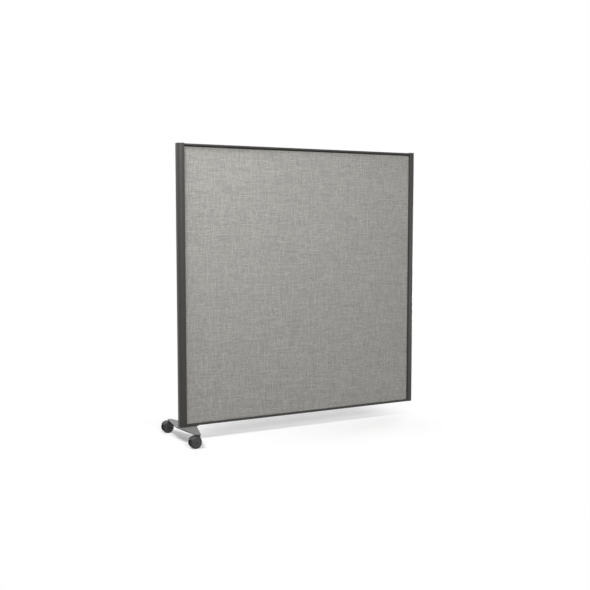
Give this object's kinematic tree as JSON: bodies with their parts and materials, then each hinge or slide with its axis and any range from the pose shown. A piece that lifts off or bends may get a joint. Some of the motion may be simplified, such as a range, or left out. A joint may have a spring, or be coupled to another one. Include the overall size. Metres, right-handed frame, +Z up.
{
  "type": "rolling partition",
  "caption": "Fabric-covered divider panel in a slim dark steel frame, with a flat foot on swivelling twin-wheel casters under its free end and a join face on the other.",
  "frame": {"origin": "middle of the join face: the outer face of the right post, half way up the frame, on the panel's mid-plane, midway between the two join holes", "axes": "+X along the panel from its free end towards the neighbouring panel, +Y from the front face to the rear face, +Z up"},
  "size_m": [1.237, 0.3648, 1.2725],
  "materials": {
    "frame_coat": "fine satin powder coat, dark warm grey",
    "cap_plastic": "matt moulded plastic, dark grey",
    "bare_steel": "plain rolled steel",
    "zinc_steel": "zinc plated, satin",
    "paper_core": "kraft paper",
    "softwood": "planed, unfinished",
    "facing_board": "smooth hardboard",
    "panel_fabric": "matt plain weave with irregular slubs, light warm grey",
    "foot_coat": "satin powder coat, light grey",
    "saddle_coat": "satin powder coat, dark grey",
    "caster_plastic": "moulded, fine texture, near black",
    "wheel_plastic": "moulded, dark grey",
    "tread_rubber": "matt soft tread, black"
  },
  "bodies": {
    "panel": {"left_post": "frame_coat", "right_post": "frame_coat", "top_rail": "frame_coat", "bottom_rail": "frame_coat", "left_top_cap": "cap_plastic", "right_top_cap": "cap_plastic", "left_base_pad": "cap_plastic", "right_base_cap": "cap_plastic", "bracket_top_left": "bare_steel", "bracket_top_right": "bare_steel", "bracket_bottom_left": "bare_steel", "bracket_bottom_right": "bare_steel", "bracket_screws": "zinc_steel", "left_key": "frame_coat", "right_key": "frame_coat", "top_key": "frame_coat", "bottom_key": "frame_coat", "honeycomb_core": "paper_core", "left_batten": "softwood", "right_batten": "softwood", "top_batten": "softwood", "bottom_batten": "softwood", "front_facing": "facing_board", "rear_facing": "facing_board", "front_fabric": "panel_fabric", "rear_fabric": "panel_fabric", "join_inserts": "zinc_steel", "foot_block": "bare_steel", "foot_saddle": "saddle_coat", "foot_plate": "foot_coat", "foot_bolts": "zinc_steel", "foot_washers": "zinc_steel", "front_caster_stem": "zinc_steel", "front_stem_clip": "zinc_steel", "rear_caster_stem": "zinc_steel", "rear_stem_clip": "zinc_steel"},
    "front_caster": {"front_caster_body": "caster_plastic", "front_axle": "zinc_steel"},
    "front_outer_roller": {"front_outer_wheel": "wheel_plastic", "front_outer_tread": "tread_rubber", "front_outer_hub_cap": "caster_plastic"},
    "front_inner_roller": {"front_inner_wheel": "wheel_plastic", "front_inner_tread": "tread_rubber", "front_inner_hub_cap": "caster_plastic"},
    "rear_caster": {"rear_caster_body": "caster_plastic", "rear_axle": "zinc_steel"},
    "rear_outer_roller": {"rear_outer_wheel": "wheel_plastic", "rear_outer_tread": "tread_rubber", "rear_outer_hub_cap": "caster_plastic"},
    "rear_inner_roller": {"rear_inner_wheel": "wheel_plastic", "rear_inner_tread": "tread_rubber", "rear_inner_hub_cap": "caster_plastic"}
  },
  "joints": [
    {"name": "front_swivel", "type": "hinge", "parent": "panel", "child": "front_caster", "pos_m": [-1.19875, -0.162, -0.612], "axis": [0, 0, 1], "continuous": true},
    {"name": "front_outer_spin", "type": "hinge", "parent": "front_caster", "child": "front_outer_roller", "pos_m": [-1.212, -0.162, -0.6405], "axis": [0, 1, 0], "continuous": true},
    {"name": "front_inner_spin", "type": "hinge", "parent": "front_caster", "child": "front_inner_roller", "pos_m": [-1.212, -0.162, -0.6405], "axis": [0, 1, 0], "continuous": true},
    {"name": "rear_swivel", "type": "hinge", "parent": "panel", "child": "rear_caster", "pos_m": [-1.19875, 0.162, -0.612], "axis": [0, 0, 1], "continuous": true},
    {"name": "rear_outer_spin", "type": "hinge", "parent": "rear_caster", "child": "rear_outer_roller", "pos_m": [-1.212, 0.162, -0.6405], "axis": [0, 1, 0], "continuous": true},
    {"name": "rear_inner_spin", "type": "hinge", "parent": "rear_caster", "child": "rear_inner_roller", "pos_m": [-1.212, 0.162, -0.6405], "axis": [0, 1, 0], "continuous": true}
  ]
}
